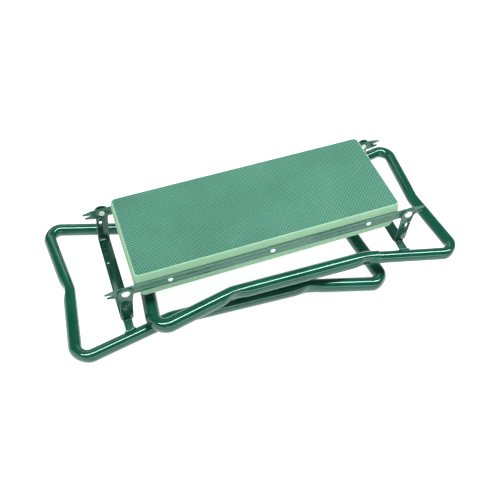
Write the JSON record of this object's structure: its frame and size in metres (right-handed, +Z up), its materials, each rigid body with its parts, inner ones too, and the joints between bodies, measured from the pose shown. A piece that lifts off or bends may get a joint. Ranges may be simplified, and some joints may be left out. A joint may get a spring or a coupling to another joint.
{
  "type": "folding garden kneeler seat",
  "caption": "Folding garden kneeler and seat: a textured green foam pad on steel rails between two hinged, hourglass-shaped tube frames, shown folded flat.",
  "frame": {"origin": "centre of the bounding box's bottom face, on the ground plane, with the part folded", "axes": "+X along the length, from the left frame's handle to the right frame's handle; +Y to the back; +Z up from the ground"},
  "size_m": [0.6189, 0.2616, 0.1472],
  "materials": {
    "foam": "matte closed-cell foam with a fine moulded texture on top",
    "board": "plain",
    "paint": "glossy dark green paint",
    "zinc": "bright zinc",
    "spacer": "dull zinc"
  },
  "bodies": {
    "seat": {"foam_pad": "foam", "seat_board": "board", "front_rail": "paint", "back_rail": "paint", "rail_rivets": "zinc", "pivot_rivets": "zinc", "pivot_spacers": "spacer"},
    "left_frame": {"left_leg_tube": "paint", "left_handle_tube": "paint", "left_bracket": "paint", "left_front_tab": "paint", "left_back_tab": "paint", "left_welds": "paint"},
    "right_frame": {"right_leg_tube": "paint", "right_handle_tube": "paint", "right_bracket": "paint", "right_front_tab": "paint", "right_back_tab": "paint", "right_welds": "paint"}
  },
  "joints": [
    {"name": "left_frame_fold", "type": "hinge", "parent": "seat", "child": "left_frame", "pos_m": [-0.21979, 0, 0.081], "axis": [0, 1, 0], "range_deg": [0, 84.4]},
    {"name": "right_frame_fold", "type": "hinge", "parent": "seat", "child": "right_frame", "pos_m": [0.21612, 0, 0.12374], "axis": [0, -1, 0], "range_deg": [-1.5, 0]}
  ]
}
